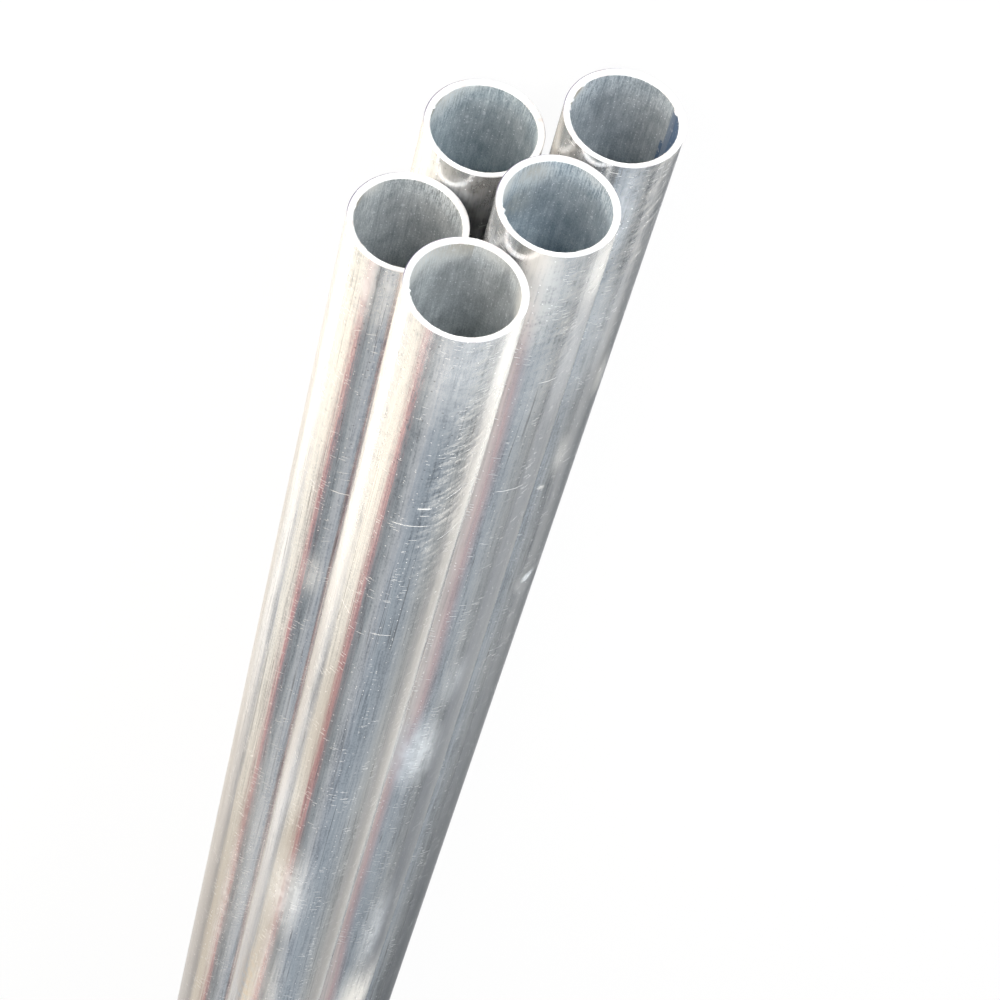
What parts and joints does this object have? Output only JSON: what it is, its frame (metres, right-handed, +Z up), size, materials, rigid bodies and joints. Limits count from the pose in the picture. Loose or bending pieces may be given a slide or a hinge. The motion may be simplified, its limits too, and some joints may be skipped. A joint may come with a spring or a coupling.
{
  "type": "bundle of electrical metallic tubing",
  "caption": "Banded bundle of straight thin-walled galvanised steel conduit tubes, stacked two, two and one, with open reamed ends staggered at one end.",
  "frame": {"origin": "centre of the bundle's bounding box, at the floor under its two bands", "axes": "+Y along the tubes, away from their staggered front ends; +X to the right when looking at the front ends along +Y; +Z up"},
  "size_m": [0.046, 3.0618, 0.0507],
  "materials": {
    "zinc_steel": "satin",
    "band": "satin"
  },
  "bodies": {
    "root": {"tube_bottom_left": "zinc_steel", "tube_bottom_right": "zinc_steel", "tube_middle_left": "zinc_steel", "tube_middle_right": "zinc_steel", "tube_top": "zinc_steel", "band_front": "band", "band_rear": "band"}
  },
  "joints": []
}
